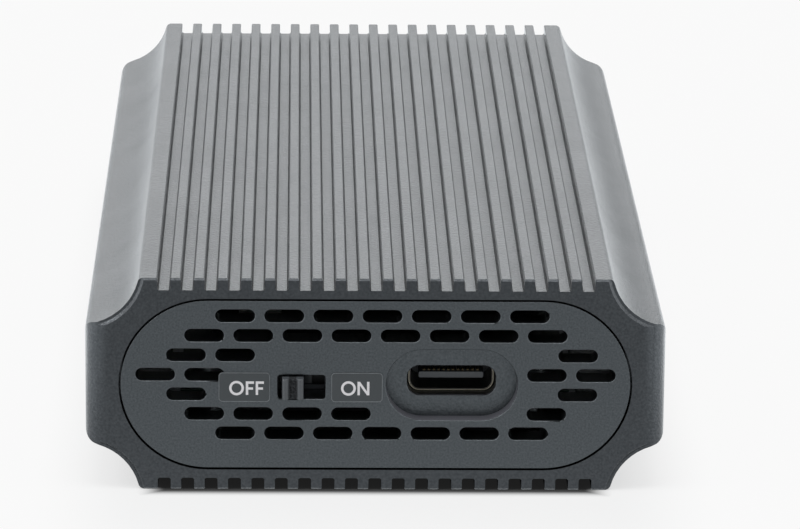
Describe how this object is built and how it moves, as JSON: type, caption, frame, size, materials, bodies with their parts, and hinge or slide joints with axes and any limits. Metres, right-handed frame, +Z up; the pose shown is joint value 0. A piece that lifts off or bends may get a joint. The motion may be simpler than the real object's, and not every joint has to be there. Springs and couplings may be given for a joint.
{
  "type": "pocket solid-state drive enclosure",
  "caption": "Ribbed extruded aluminium enclosure for a pocket drive, with scooped long edges, vented flush end plates, a reversible plug port, a slide switch and a small blower inside.",
  "frame": {"origin": "middle of the resting surface, under the centre of the bounding box", "axes": "+X across to the right as the port end is looked at, +Y from the port end to the rear, +Z up from the lower ribs"},
  "size_m": [0.0594, 0.116, 0.0225],
  "materials": {
    "anodised_tube": "bead-blasted space-grey anodising",
    "anodised_plate": "bead-blasted dark grey anodising",
    "label_film": "thin satin film with white lettering",
    "knob_plastic": "moulded black plastic",
    "black_plastic": "moulded black plastic",
    "tinned_sheet": "tin-plated folded sheet",
    "port_steel": "nickel-plated drawn steel",
    "gold_contact": "gold-flashed contacts",
    "black_screw": "black zinc, on the plate screws and the switch frame",
    "bright_screw": "bright zinc",
    "bare_aluminium": "plain milled",
    "board_laminate": "glass laminate with solder mask",
    "chip_resin": "moulded resin",
    "ferrite": "pressed ferrite",
    "brass_post": "turned",
    "pad_rubber": "soft silicone",
    "fan_plastic": "moulded, glass filled",
    "copper_winding": "enamelled copper",
    "wire_sleeve": "wire sleeve",
    "white_plastic": "moulded natural nylon"
  },
  "bodies": {
    "case": {"shell": "anodised_tube", "front_plate": "anodised_plate", "off_label": "label_film", "on_label": "label_film", "switch_frame": "black_screw", "switch_base": "black_plastic", "switch_terminals": "tinned_sheet", "usb_shell": "port_steel", "usb_tongue": "black_plastic", "usb_contacts": "gold_contact", "rear_plate": "anodised_plate", "rear_screws": "black_screw", "carrier": "bare_aluminium", "front_screws": "black_screw", "main_board": "board_laminate", "board_screws": "bright_screw", "bridge_chip": "chip_resin", "board_parts": "chip_resin", "board_inductors": "ferrite", "drive_socket": "black_plastic", "socket_contacts": "gold_contact", "drive_post": "brass_post", "drive_screw": "bright_screw", "thermal_pad": "pad_rubber", "fan_frame": "black_plastic", "fan_cover": "black_plastic", "fan_stator": "copper_winding", "fan_bearing": "brass_post", "fan_screws": "bright_screw", "fan_lead": "wire_sleeve", "fan_plug": "white_plastic", "fan_header": "white_plastic"},
    "knob": {"switch_knob": "knob_plastic"},
    "rotor": {"fan_impeller": "fan_plastic", "fan_shaft": "bright_screw", "fan_magnet": "ferrite"}
  },
  "joints": [
    {"name": "switch_slide", "type": "slide", "parent": "case", "child": "knob", "axis": [1, 0, 0], "range_m": [0, 0.002]},
    {"name": "fan_spin", "type": "hinge", "parent": "case", "child": "rotor", "pos_m": [-0.001, 0.0003, 0.01], "axis": [0, 0, 1], "continuous": true}
  ]
}
